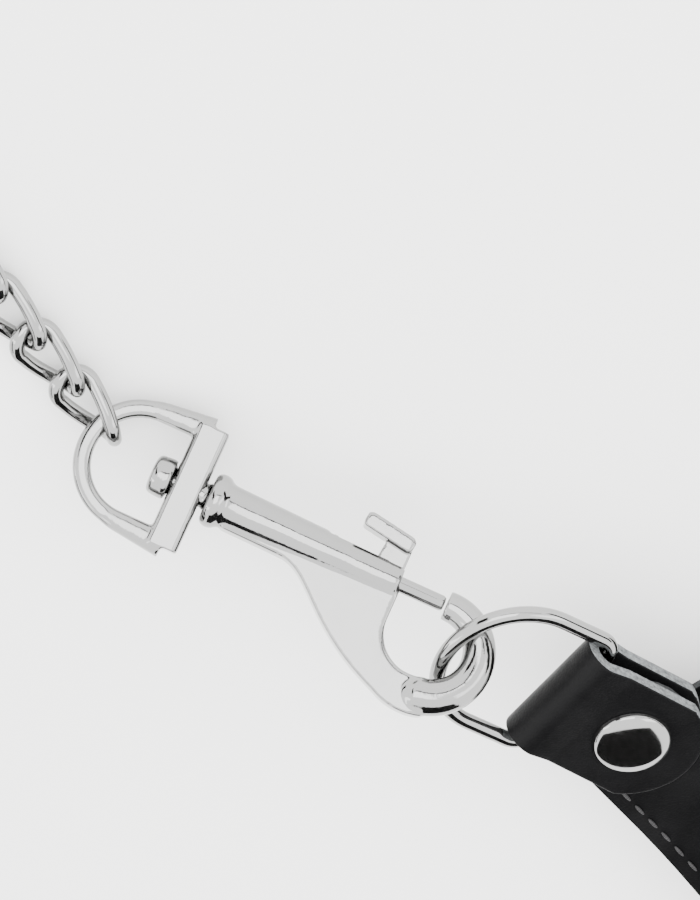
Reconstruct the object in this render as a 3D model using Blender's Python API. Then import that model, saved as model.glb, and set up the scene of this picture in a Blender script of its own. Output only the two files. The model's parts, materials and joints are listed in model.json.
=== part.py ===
"""Leather chain wallet: a long two-fold wallet, a riveted D-ring tab, a curb chain and two swivel bolt snaps.

The origin is the middle of the wallet's underside.  +X runs along the wallet's long edges, away from
the tab; +Y runs from the stitched opening edge to the spine; +Z is up.  All lengths are in metres.
"""
from math import asin, cos, degrees, pi, radians, sin

import bmesh
import bpy
from mathutils import Matrix, Vector

MM = 0.001
FIT = 0.3 * MM                    # gap kept between two pieces that touch

# ---- Wallet: driving sizes -------------------------------------------------------------------
WALLET_LENGTH = 178 * MM
WALLET_WIDTH = 92 * MM
COVER_THICK = 2.1 * MM
PANEL_THICK = 0.9 * MM
POCKET_THICK = 0.9 * MM
CORNER_RADIUS = 9 * MM
INSET = 1.2 * MM                  # inner panels stop this far inside the cover's edge
SPINE_INSET = 3.0 * MM            # inner panels stop this far short of the spine fold
CARD_POCKETS = 4
CARD_STEP = 12 * MM               # each card pocket's mouth lies this far below the next one's
CARD_POCKET_LENGTH = 96 * MM
COIN_POCKET_LENGTH = 70 * MM
EAR_RADIUS = 10 * MM              # rounded ear of the upper cover, under the tab
EAR_CURL = radians(9.5)           # upward lift of the cover's corner that carries the tab
EAR_CURL_LENGTH = 36 * MM         # the lift starts this far from the ear's rivet
EAR_CURL_FADE = 30 * MM           # and fades out over this width of the cover
FOLD_GAP = 1.8 * MM               # free space between the two halves' pockets, where the studs meet

# ---- Press studs -----------------------------------------------------------------------------
STUD_COUNT = 2
STUD_SPACING = 108 * MM
STUD_EDGE = 12 * MM               # from the opening edge to the stud's centre
STUD_CAP_RADIUS = 6.2 * MM
STUD_CAP_HEIGHT = 1.5 * MM
STUD_POST_RADIUS = 2.0 * MM
STUD_BALL_RADIUS = 1.6 * MM
STUD_FLANGE_RADIUS = 5.0 * MM
STUD_FLANGE_THICK = 0.6 * MM

# ---- Tab and rivet ---------------------------------------------------------------------------
TAB_WIDTH = 22 * MM
TAB_THICK = 2.3 * MM
TAB_END_RADIUS = 12 * MM
TAB_HEADING = radians(197.3)      # from the rivet towards the D-ring
TAB_REACH = 13.0 * MM             # from the rivet's centre to the D-ring bar's centre
TAB_LOOP_PLAY = 0.8 * MM          # the fold's room round the ring's wire
TAB_LOOP_LENGTH = 4.0 * MM        # the fold opens over this length
TAB_NOTCH_PLAY = 1.0 * MM         # the inner wall is notched this far clear of the tab
RIVET_FROM_EDGE = 11.5 * MM       # from the stitched edge to the rivet's centre
RIVET_FROM_END = -9.5 * MM        # from the wallet's short end to the rivet's centre, positive inwards
RIVET_CAP_RADIUS = 6.5 * MM
RIVET_CAP_HEIGHT = 1.9 * MM
RIVET_BASE_RADIUS = 5.0 * MM
RIVET_BASE_THICK = 0.9 * MM
RIVET_STEM_RADIUS = 1.6 * MM

# ---- D-ring ----------------------------------------------------------------------------------
RING_WIRE = 2.7 * MM
RING_HALF_WIDTH = 12.9 * MM       # bar's centre to the side wire's centre
RING_DEPTH = 24.0 * MM            # bar's centre line to the bow's centre line
RING_CORNER = 3.0 * MM
RING_RISE = radians(13.7)         # bow end up
RING_ROLL = radians(0.9)
RING_CONTACT = radians(13.7)      # where on the bow the hook hangs, from the bow's middle

# ---- Bolt snap -------------------------------------------------------------------------------
BARREL_LENGTH = 31 * MM
BARREL_REAR_RADIUS = 3.7 * MM
BARREL_MOUTH_RADIUS = 2.9 * MM
COLLAR_RADIUS = 4.5 * MM
COLLAR_LENGTH = 3.0 * MM
WEB_THICK = 3.6 * MM
BOW_CENTRE = (40.2 * MM, 7.7 * MM)
BOW_RADIUS = 7.7 * MM             # to the middle of the bow's round bar
BOW_BAR_ROOT = 3.2 * MM           # bar radius where it leaves the web
BOW_BAR_TIP = 2.5 * MM
NOSE_X = 39.3 * MM                # face of the nose that the bolt meets
THROAT_CENTRE = (38.2 * MM, 6.2 * MM)
THROAT_RADIUS = 6.7 * MM
WEB_CENTRE = (39.2 * MM, 8.0 * MM)
WEB_RADIUS = 11.1 * MM
BOLT_RADIUS = 1.3 * MM
BOLT_BORE_RADIUS = 1.75 * MM
BOLT_TRAVEL = 7.5 * MM
BOLT_TAIL = 15 * MM               # how much of the bolt stays inside the barrel
LEVER_POST_LENGTH = 5.0 * MM
LEVER_POST_WIDTH = 2.0 * MM
LEVER_PAD_LENGTH = 9.2 * MM
LEVER_PAD_THICK = 2.2 * MM
LEVER_PAD_WIDTH = 4.2 * MM
LEVER_HEIGHT = 6.6 * MM           # bolt's axis to the middle of the lever's pad
LEVER_TILT = radians(9.0)
SPRING_TURNS = 6
SPRING_RADIUS = 1.25 * MM
SPRING_WIRE = 0.4 * MM
SNAP_SEAT = (42.4 * MM, 7.8 * MM) # where the ring's wire passes through the throat
SNAP_HEADING = radians(33.2)      # from the swivel eye towards the hook
SNAP_PITCH = radians(11.5)        # hook end up
SNAP_ROLL = radians(41.6)         # bow side up

# ---- Swivel eye ------------------------------------------------------------------------------
EYE_HALF_WIDTH = 10.6 * MM        # outside
EYE_BAR_THICK = 5.4 * MM
EYE_BAR_DEPTH = 5.4 * MM
EYE_SIDE_LENGTH = 11.2 * MM       # bar's outer face to the start of the round bow
EYE_WIRE_WIDTH = 2.7 * MM
EYE_WIRE_DEPTH = 2.6 * MM
EYE_PULL = radians(24.0)          # where on the near eye's bow the first link hangs, from the bow's middle
NEAR_EYE_SPIN = radians(6.0)
FAR_EYE_SPIN = radians(-13.0)
EYE_GAP = 0.9 * MM                # between the eye's bar and the barrel's collar
SWIVEL_RADIUS = 2.1 * MM
SWIVEL_HEAD_RADIUS = 3.5 * MM
SWIVEL_HEAD_LENGTH = 3.4 * MM

# ---- Chain -----------------------------------------------------------------------------------
LINK_COUNT = 18
LINK_WIRE = 2.2 * MM
LINK_PITCH = 10.4 * MM
LINK_HALF_WIDTH = 3.4 * MM        # to the middle of the wire
LINK_PLAY = 0.7 * MM
LINK_TWIST = radians(45.0)        # each end turns this far out of the chain's plane
CHAIN_HEADING = radians(180.0)
CHAIN_STRAIGHT = 5                # links before the chain starts to turn back
CHAIN_TURN_LINKS = 12
CHAIN_END_LINKS = 3               # links at each end that turn to meet the eye; the last ones climb too
CHAIN_SLOPE = 0.5                 # steepest rise or fall of a link
CHAIN_START_ROLL = radians(-24.0) # the first link rolls this far to sit square on the near eye's wire
CHAIN_END_ROLL = radians(32.0)    # and the last link on the far eye's wire

SIDES = 8                         # facets round a wire
ROUND = 24                        # facets round a turned piece


def clear_scene():
    for obj in list(bpy.data.objects):
        bpy.data.objects.remove(obj, do_unlink=True)


def material(name, colour, metallic, roughness):
    """Principled material with one colour."""
    mat = bpy.data.materials.get(name)
    if mat:
        return mat
    mat = bpy.data.materials.new(name)
    mat.use_nodes = True
    shader = mat.node_tree.nodes["Principled BSDF"]
    shader.inputs["Base Color"].default_value = (*colour, 1.0)
    shader.inputs["Metallic"].default_value = metallic
    shader.inputs["Roughness"].default_value = roughness
    return mat


def chrome():
    return material("nickel_chrome", (0.80, 0.80, 0.80), 1.0, 0.10)


def leather():
    return material("black_leather", (0.012, 0.012, 0.012), 0.0, 0.42)


def lining():
    return material("black_lining", (0.020, 0.020, 0.022), 0.0, 0.70)


def spring_steel():
    return material("spring_steel", (0.55, 0.55, 0.56), 1.0, 0.30)


def frame(name, matrix, parent=None):
    """Empty on a joint's axis; matrix is in world coordinates."""
    empty = bpy.data.objects.new(name, None)
    empty.empty_display_size = 5 * MM
    bpy.context.collection.objects.link(empty)
    if parent:
        empty.parent = parent
    bpy.context.view_layer.update()
    empty.matrix_world = matrix
    bpy.context.view_layer.update()
    return empty


def add_object(name, verts, faces, mat, parent=None, smooth=True):
    mesh = bpy.data.meshes.new(name)
    mesh.from_pydata([tuple(v) for v in verts], [], faces)
    mesh.validate()
    build = bmesh.new()
    build.from_mesh(mesh)
    bmesh.ops.recalc_face_normals(build, faces=build.faces)
    build.to_mesh(mesh)
    build.free()
    if mat:
        mesh.materials.append(mat)
    if smooth:
        mesh.shade_smooth()
        mesh.set_sharp_from_angle(angle=radians(35))
    obj = bpy.data.objects.new(name, mesh)
    bpy.context.collection.objects.link(obj)
    if parent:
        obj.parent = parent
    return obj


def loft(rings, closed_path=False):
    """Vertices and faces of a tube through rings of equal size, capped unless its path is closed."""
    size = len(rings[0])
    verts = [point for ring in rings for point in ring]
    spans = len(rings) if closed_path else len(rings) - 1
    faces = []
    for i in range(spans):
        a = i * size
        b = ((i + 1) % len(rings)) * size
        for k in range(size):
            m = (k + 1) % size
            faces.append((a + k, a + m, b + m, b + k))
    if not closed_path:
        faces.append(tuple(range(size)))
        faces.append(tuple(range(len(verts) - size, len(verts))))
    return verts, faces


def turned(profile, steps=ROUND, axis="X"):
    """Solid of revolution; profile is a list of (position along the axis, radius)."""
    rings = []
    for along, radius in profile:
        ring = []
        for k in range(steps):
            angle = 2 * pi * k / steps
            c, s = radius * cos(angle), radius * sin(angle)
            ring.append(Vector((along, c, s)) if axis == "X" else Vector((c, s, along)))
        rings.append(ring)
    return loft(rings)


def wire_rings(points, radii, closed_path, sides=SIDES, up=Vector((0, 0, 1))):
    """Circles square to a path, all built from one fixed up direction."""
    count = len(points)
    rings = []
    for i, point in enumerate(points):
        before = points[i - 1] if (i > 0 or closed_path) else points[i]
        after = points[(i + 1) % count] if (i < count - 1 or closed_path) else points[i]
        tangent = (after - before).normalized()
        side = tangent.cross(up).normalized()
        top = side.cross(tangent).normalized()
        radius = radii[i]
        rings.append([point + (side * cos(2 * pi * k / sides) + top * sin(2 * pi * k / sides)) * radius
                      for k in range(sides)])
    return rings


def prism(outline, low, high):
    """Flat outline (x, y) raised from z = low to z = high."""
    bottom = [Vector((x, y, low)) for x, y in outline]
    top = [Vector((x, y, high)) for x, y in outline]
    return loft([bottom, top])


def box(x0, x1, y0, y1, z0, z1):
    return prism([(x0, y0), (x1, y0), (x1, y1), (x0, y1)], z0, z1)


def arc(centre, radius, start, end, steps):
    """Points on an arc, angles in degrees, both ends included."""
    points = []
    for k in range(steps + 1):
        angle = radians(start + (end - start) * k / steps)
        points.append((centre[0] + radius * cos(angle), centre[1] + radius * sin(angle)))
    return points


def rounded_rectangle(x0, x1, y0, y1, radius, steps=5):
    points = []
    points += arc((x1 - radius, y1 - radius), radius, 0, 90, steps)
    points += arc((x0 + radius, y1 - radius), radius, 90, 180, steps)
    points += arc((x0 + radius, y0 + radius), radius, 180, 270, steps)
    points += arc((x1 - radius, y0 + radius), radius, 270, 360, steps)
    return points


def boolean(obj, tool, operation):
    """Live Boolean; the tool stays in the file as a wire guide."""
    tool.hide_render = True
    tool.display_type = "WIRE"
    modifier = obj.modifiers.new(operation.lower(), "BOOLEAN")
    modifier.operation = operation
    modifier.object = tool
    modifier.solver = "EXACT"
    return obj


def tool(name, shape, parent):
    return add_object(name, *shape, None, parent, smooth=False)


# ---- Wallet ----------------------------------------------------------------------------------
X_END = WALLET_LENGTH / 2
Y_OPEN = -WALLET_WIDTH / 2
Y_SPINE = WALLET_WIDTH / 2
RIVET_X = -X_END + RIVET_FROM_END
RIVET_Y = Y_OPEN + RIVET_FROM_EDGE

# heights of the layers, from the underside up
Z_LOWER_TOP = COVER_THICK
Z_BILL_WALL = Z_LOWER_TOP + FIT
Z_CARDS = Z_BILL_WALL + PANEL_THICK + FIT
Z_CARDS_TOP = Z_CARDS + CARD_POCKETS * (POCKET_THICK + FIT)
Z_COIN = Z_CARDS_TOP + FOLD_GAP
Z_UPPER_WALL = Z_COIN + POCKET_THICK + FIT
Z_UPPER = Z_UPPER_WALL + PANEL_THICK + FIT
Z_TOP = Z_UPPER + COVER_THICK
SPINE_RADIUS = Z_TOP / 2          # outside of the spine's half-round fold
Z_HINGE = Z_TOP / 2


def cover_outline(with_ear):
    """Outline of a cover: round corners at the opening edge, square at the spine, an ear at one corner."""
    points = [(X_END, Y_SPINE), (-X_END, Y_SPINE)]
    if with_ear:
        ear_top = RIVET_Y + EAR_RADIUS
        rows = 4
        for k in range(1, rows + 1):
            points.append((-X_END, Y_SPINE + (ear_top - Y_SPINE) * k / rows))
        points += arc((RIVET_X, RIVET_Y), EAR_RADIUS, 90, 262, 12)
        points.append((RIVET_X + EAR_RADIUS / 2, Y_OPEN))
        points.append((RIVET_X + EAR_CURL_LENGTH / 2, Y_OPEN))
        points.append((RIVET_X + EAR_CURL_LENGTH, Y_OPEN))
    else:
        points += arc((-X_END + CORNER_RADIUS, Y_OPEN + CORNER_RADIUS), CORNER_RADIUS, 180, 270, 5)
    points += arc((X_END - CORNER_RADIUS, Y_OPEN + CORNER_RADIUS), CORNER_RADIUS, 270, 360, 5)
    return points


def curl_height(x, y):
    """How far the upper cover lifts at a point: nothing on the wallet, a smooth curl towards the ear."""
    away = max(0.0, (RIVET_X + EAR_CURL_LENGTH) - x)
    across = max(0.0, 1.0 - max(0.0, y - RIVET_Y - EAR_RADIUS) / EAR_CURL_FADE)
    bend = EAR_CURL_LENGTH * 0.5
    lift = away * away / (2 * bend) if away < bend else away - bend / 2
    return lift * sin(EAR_CURL) * across * across


def curled_cover(name, mat, parent, shift):
    """Upper cover as a grid-cut plate whose corner lifts."""
    build = bmesh.new()
    outline = cover_outline(True)
    verts = [build.verts.new((x, y, 0.0)) for x, y in outline]
    build.faces.new(verts)
    for k in range(9):
        x_cut = RIVET_X + EAR_CURL_LENGTH - k * EAR_CURL_LENGTH / 7
        bmesh.ops.bisect_plane(build, geom=build.verts[:] + build.edges[:] + build.faces[:],
                               plane_co=(x_cut, 0, 0), plane_no=(1, 0, 0), dist=1e-7)
    for k in range(4):
        y_cut = RIVET_Y + EAR_RADIUS + k * EAR_CURL_FADE / 3
        bmesh.ops.bisect_plane(build, geom=build.verts[:] + build.edges[:] + build.faces[:],
                               plane_co=(0, y_cut, 0), plane_no=(0, 1, 0), dist=1e-7)
    bmesh.ops.triangulate(build, faces=build.faces)
    flat = bpy.data.meshes.new(name)
    build.verts.ensure_lookup_table()
    for vert in build.verts:
        vert.co.z = Z_UPPER + curl_height(vert.co.x, vert.co.y)
    made = bmesh.ops.extrude_face_region(build, geom=build.faces[:])
    for item in made["geom"]:
        if isinstance(item, bmesh.types.BMVert):
            item.co.z += COVER_THICK
    bmesh.ops.recalc_face_normals(build, faces=build.faces)
    bmesh.ops.translate(build, verts=build.verts, vec=-shift)
    build.to_mesh(flat)
    build.free()
    flat.materials.append(mat)
    obj = bpy.data.objects.new(name, flat)
    bpy.context.collection.objects.link(obj)
    obj.parent = parent
    return obj


def shifted(shape, offset):
    verts, faces = shape
    return [v - offset for v in verts], faces


def hole_tool(name, x, y, z0, z1, radius, parent, shift):
    shape = turned([(z0, radius), (z1, radius)], steps=16, axis="Z")
    return tool(name, shifted(shape, shift - Vector((x, y, 0))), parent)


def stud_places():
    middle = (STUD_COUNT - 1) / 2
    return [((k - middle) * STUD_SPACING, Y_OPEN + STUD_EDGE) for k in range(STUD_COUNT)]


def make_wallet():
    root = frame("lower_half", Matrix())
    hinge = frame("upper_half", Matrix.Translation((0, Y_SPINE, Z_HINGE)), root)
    none = Vector((0, 0, 0))
    up = Vector((0, Y_SPINE, Z_HINGE))
    inner_x = X_END - INSET
    inner_open = Y_OPEN + INSET
    inner_spine = Y_SPINE - SPINE_INSET
    wall = rounded_rectangle(-inner_x, inner_x, inner_open, inner_spine, CORNER_RADIUS - INSET)

    lower = add_object("lower_cover", *prism(cover_outline(False), 0, COVER_THICK), leather(), root)
    bill_wall = add_object("bill_pocket_wall", *prism(wall, Z_BILL_WALL, Z_BILL_WALL + PANEL_THICK),
                           lining(), root)
    card_left = -inner_x + 4 * MM
    pockets = []
    clear_of_stud = STUD_EDGE + STUD_FLANGE_RADIUS + 1.5 * MM
    for k in range(CARD_POCKETS):
        low = Z_CARDS + k * (POCKET_THICK + FIT)
        shape = box(card_left, card_left + CARD_POCKET_LENGTH, Y_OPEN + clear_of_stud,
                    inner_spine - 4 * MM - k * CARD_STEP, low, low + POCKET_THICK)
        pockets.append(add_object(f"card_pocket_{k + 1}", *shape, lining(), root))
    note_left = card_left + CARD_POCKET_LENGTH + 4 * MM
    shape = box(note_left, inner_x - 4 * MM, Y_OPEN + clear_of_stud, inner_spine - 14 * MM,
                Z_CARDS, Z_CARDS + POCKET_THICK)
    add_object("receipt_pocket", *shape, lining(), root)

    cover = curled_cover("upper_cover", leather(), hinge, up)
    upper_wall = add_object("upper_pocket_wall",
                            *shifted(prism(wall, Z_UPPER_WALL, Z_UPPER_WALL + PANEL_THICK), up),
                            lining(), hinge)
    shape = box(-COIN_POCKET_LENGTH / 2, COIN_POCKET_LENGTH / 2, Y_OPEN + clear_of_stud,
                inner_spine - 16 * MM, Z_COIN, Z_COIN + POCKET_THICK)
    add_object("coin_pocket", *shifted(shape, up), lining(), hinge)

    notch = hole_tool("upper_wall_notch", RIVET_X, RIVET_Y, Z_COIN, Z_TOP,
                      TAB_END_RADIUS + TAB_NOTCH_PLAY, hinge, up)
    boolean(upper_wall, notch, "DIFFERENCE")
    make_spine(hinge, up)
    for k, (x, y) in enumerate(stud_places()):
        make_stud(k + 1, x, y, root, hinge, none, up, lower, bill_wall, cover, upper_wall)
    return root, hinge, up, cover


def make_spine(parent, shift):
    """Half-round fold of the cover leather behind the two covers' square edges."""
    outer = SPINE_RADIUS
    inner = SPINE_RADIUS - COVER_THICK
    y0 = Y_SPINE + FIT
    section = []
    section += [(y0 + outer * cos(a), Z_HINGE + outer * sin(a))
                for a in [radians(-90 + 180 * k / 10) for k in range(11)]]
    section += [(y0 + inner * cos(a), Z_HINGE + inner * sin(a))
                for a in [radians(90 - 180 * k / 10) for k in range(11)]]
    rings = [[Vector((x, y, z)) for y, z in section] for x in (-X_END, X_END)]
    add_object("spine_fold", *shifted(loft(rings), shift), leather(), parent)


def dome(radius, height, base, rim, steps=4):
    """Turned profile of a domed cap standing on z = base with a straight rim."""
    profile = [(base, radius)]
    for k in range(steps + 1):
        angle = radians(90 * k / steps)
        profile.append((base + rim + (height - rim) * sin(angle), max(radius * cos(angle), 0.12 * radius)))
    return profile


def make_stud(number, x, y, root, hinge, none, up, lower, bill_wall, cover, upper_wall):
    """Press stud: cap and socket on the upper half, stud and base post on the lower half."""
    hole = STUD_POST_RADIUS + FIT
    name = f"stud_{number}"
    for layer, parent, shift in ((lower, root, none), (bill_wall, root, none),
                                 (cover, hinge, up), (upper_wall, hinge, up)):
        cutter = hole_tool(f"{name}_hole_{layer.name}", x, y, -1 * MM, Z_TOP + 4 * MM, hole, parent, shift)
        boolean(layer, cutter, "DIFFERENCE")
    at = Vector((x, y, 0))
    cap_base = Z_TOP + FIT
    stem_end = Z_UPPER_WALL - FIT - STUD_FLANGE_THICK - FIT
    cap = [(stem_end, STUD_POST_RADIUS), (cap_base, STUD_POST_RADIUS)]
    cap += dome(STUD_CAP_RADIUS, STUD_CAP_HEIGHT, cap_base, 0.4 * MM)
    add_object(f"{name}_cap", *shifted(turned(cap, 20, "Z"), up - at), chrome(), hinge)
    stud_base = Z_BILL_WALL + PANEL_THICK + FIT
    ball_low = stud_base + STUD_FLANGE_THICK
    ball_top = stem_end - FIT
    socket_low = ball_low + FIT
    socket_top = Z_UPPER_WALL - FIT
    bore = STUD_BALL_RADIUS + FIT
    neck = STUD_POST_RADIUS + FIT
    socket = [(socket_low, bore), (socket_low, STUD_FLANGE_RADIUS * 0.72), (socket_top, STUD_FLANGE_RADIUS),
              (socket_top, neck), (stem_end, neck), (stem_end - FIT, bore)]
    add_object(f"{name}_socket", *shifted(closed_ring(socket, 20), up - at), chrome(), hinge)
    stud = [(stud_base, STUD_FLANGE_RADIUS), (ball_low, STUD_FLANGE_RADIUS),
            (ball_low, STUD_BALL_RADIUS * 0.8), (ball_top - 2 * FIT, STUD_BALL_RADIUS),
            (ball_top, STUD_BALL_RADIUS * 0.7)]
    add_object(f"{name}_stud", *shifted(turned(stud, 20, "Z"), none - at), chrome(), root)
    post_radius = STUD_POST_RADIUS - FIT / 2
    post = [(COVER_THICK / 3, post_radius), (stud_base - FIT, post_radius)]
    add_object(f"{name}_post", *shifted(turned(post, 16, "Z"), none - at), chrome(), root)


def closed_ring(section, steps):
    """Ring of revolution about Z from a closed section of (height, radius) points."""
    rings = []
    for k in range(steps):
        angle = 2 * pi * k / steps
        rings.append([Vector((r * cos(angle), r * sin(angle), z)) for z, r in section])
    return loft(rings, closed_path=True)


# ---- Tab, rivet and ring ---------------------------------------------------------------------
def tab_matrix():
    """World place of the tab: origin on the rivet's axis at the ear's top face, +X towards the ring."""
    lift = curl_height(RIVET_X, RIVET_Y)
    tilt = Matrix.Rotation(EAR_CURL, 4, "Y")
    place = Matrix.Translation((RIVET_X, RIVET_Y, Z_TOP + lift))
    return place @ tilt @ Matrix.Rotation(TAB_HEADING, 4, "Z")


def make_tab(hinge, cover):
    place = tab_matrix()
    tab = frame("tab_swivel", place, hinge)
    upper_z = FIT
    lower_z = -COVER_THICK - FIT - TAB_THICK
    bar_z = (upper_z + lower_z + TAB_THICK) / 2
    flat_gap = (upper_z - lower_z - TAB_THICK) / 2
    inner = RING_WIRE / 2 + TAB_LOOP_PLAY
    outer = inner + TAB_THICK
    half = TAB_WIDTH / 2
    opens = TAB_REACH - TAB_LOOP_LENGTH
    # side view of the strap, from the upper layer's end round the ring's bar to the lower layer's end
    bends = [pi * k / 8 for k in range(9)]
    side = [(-TAB_END_RADIUS, bar_z + flat_gap), (opens, bar_z + flat_gap)]
    side += [(TAB_REACH + inner * sin(a), bar_z + inner * cos(a)) for a in bends]
    side += [(opens, bar_z - flat_gap), (-TAB_END_RADIUS, bar_z - flat_gap)]
    side += [(-TAB_END_RADIUS, bar_z - flat_gap - TAB_THICK), (opens, bar_z - flat_gap - TAB_THICK)]
    side += [(TAB_REACH + outer * sin(a), bar_z - outer * cos(a)) for a in bends]
    side += [(opens, bar_z + flat_gap + TAB_THICK), (-TAB_END_RADIUS, bar_z + flat_gap + TAB_THICK)]
    rings = [[Vector((x, y, z)) for x, z in side] for y in (-half, half)]
    strap = add_object("tab_strap", *loft(rings), leather(), tab, smooth=False)
    # round end: everything outside the end's arc is cut away
    past = 1 * MM
    reach = TAB_REACH + outer + past
    start = degrees(asin(half / TAB_END_RADIUS))
    keep_outline = [(reach, -half - past), (reach, half + past), (0, half + past)]
    keep_outline += arc((0, 0), TAB_END_RADIUS, 180 - start, 180 + start, 10)
    keep_outline += [(0, -half - past)]
    keeper = tool("tab_round_end", prism(keep_outline, bar_z - outer - past, bar_z + outer + past), tab)
    boolean(strap, keeper, "INTERSECT")
    hole = turned([(lower_z - 2 * MM, RIVET_STEM_RADIUS + FIT),
                   (upper_z + TAB_THICK + 2 * MM, RIVET_STEM_RADIUS + FIT)], 16, "Z")
    boolean(strap, tool("tab_rivet_hole", hole, tab), "DIFFERENCE")
    boolean(cover, tool("cover_rivet_hole", hole, tab), "DIFFERENCE")

    cap_base = upper_z + TAB_THICK + FIT
    cap = [(lower_z + 0.3 * MM, RIVET_STEM_RADIUS), (cap_base, RIVET_STEM_RADIUS)]
    cap += dome(RIVET_CAP_RADIUS, RIVET_CAP_HEIGHT, cap_base, 0.35 * MM, 5)
    add_object("rivet_cap", *turned(cap, 28, "Z"), chrome(), tab)
    base_top = lower_z - FIT
    base = [(base_top - RIVET_BASE_THICK, RIVET_BASE_RADIUS * 0.8),
            (base_top - RIVET_BASE_THICK * 0.4, RIVET_BASE_RADIUS), (base_top, RIVET_BASE_RADIUS)]
    add_object("rivet_base", *turned(base, 20, "Z"), chrome(), tab)
    return tab, place, bar_z


def ring_points():
    """Centre line of the D-ring: bar on the Y axis, bow towards +X."""
    points = []
    half = RING_HALF_WIDTH
    corner = RING_CORNER
    straight = RING_DEPTH - half
    points += arc((corner, -half + corner), corner, 180, 270, 4)
    points += arc((straight, 0), half, -90, 90, 16)
    points += arc((corner, half - corner), corner, 90, 180, 4)
    points.append((0.0, 0.0))
    return [Vector((x, y, 0)) for x, y in points]


def make_ring(tab, tab_place, bar_z):
    place = tab_place @ Matrix.Translation((TAB_REACH, 0, bar_z))
    place = place @ Matrix.Rotation(-(RING_RISE - EAR_CURL), 4, "Y") @ Matrix.Rotation(RING_ROLL, 4, "X")
    swing = frame("ring_swing", place, tab)
    points = ring_points()
    radii = [RING_WIRE / 2] * len(points)
    add_object("d_ring", *loft(wire_rings(points, radii, True, 10), True), chrome(), swing)
    return swing, place


# ---- Bolt snap -------------------------------------------------------------------------------
def snap_seat():
    """Where the ring's wire sits in the throat, in the snap's own frame (x along the bolt, y to the bow)."""
    return mirrored(Vector((*SNAP_SEAT, 0)))


def mirrored(point):
    """The snap is drawn with its bow at +Y and built with it at -Y, thumb lever opposite."""
    return Vector((point.x, -point.y, point.z))


def web_outline():
    """Flat web between the barrel and the bow: flared outside, round throat inside."""
    points = [(0.8 * MM, 0.5 * MM), (0.8 * MM, 3.9 * MM)]
    start = Vector((12 * MM, 4.1 * MM))
    lean = Vector((17.5 * MM, 4.8 * MM))
    rise = Vector((20.0 * MM, 12.5 * MM))
    end_angle = 118
    end = Vector(arc(WEB_CENTRE, WEB_RADIUS, end_angle, end_angle, 1)[0])
    for k in range(8):
        t = k / 8
        p = ((1 - t) ** 3 * start + 3 * (1 - t) ** 2 * t * lean + 3 * (1 - t) * t ** 2 * rise + t ** 3 * end)
        points.append((p.x, p.y))
    points += arc(WEB_CENTRE, WEB_RADIUS, end_angle, 72, 6)
    points += arc(THROAT_CENTRE, THROAT_RADIUS, 66, 180, 10)
    points.append((THROAT_CENTRE[0] - THROAT_RADIUS, 0.5 * MM))
    return points


def bow_rings():
    """Round bar of the bow, from inside the web round to the nose that meets the bolt."""
    rings = []
    steps = 16
    for k in range(steps + 1):
        share = k / steps
        angle = radians(112 + (-90 - 112) * share)
        centre = Vector((BOW_CENTRE[0] + BOW_RADIUS * cos(angle), BOW_CENTRE[1] + BOW_RADIUS * sin(angle), 0))
        out = Vector((cos(angle), sin(angle), 0))
        bar = BOW_BAR_ROOT + (BOW_BAR_TIP - BOW_BAR_ROOT) * share
        if k == 0:
            bar = BOW_BAR_ROOT * 0.6
        rings.append([centre + (out * cos(2 * pi * m / 12) + Vector((0, 0, 1)) * sin(2 * pi * m / 12)) * bar
                      for m in range(12)])
    rings.append([Vector((NOSE_X, p.y, p.z)) for p in rings[-1]])
    return rings


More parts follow.
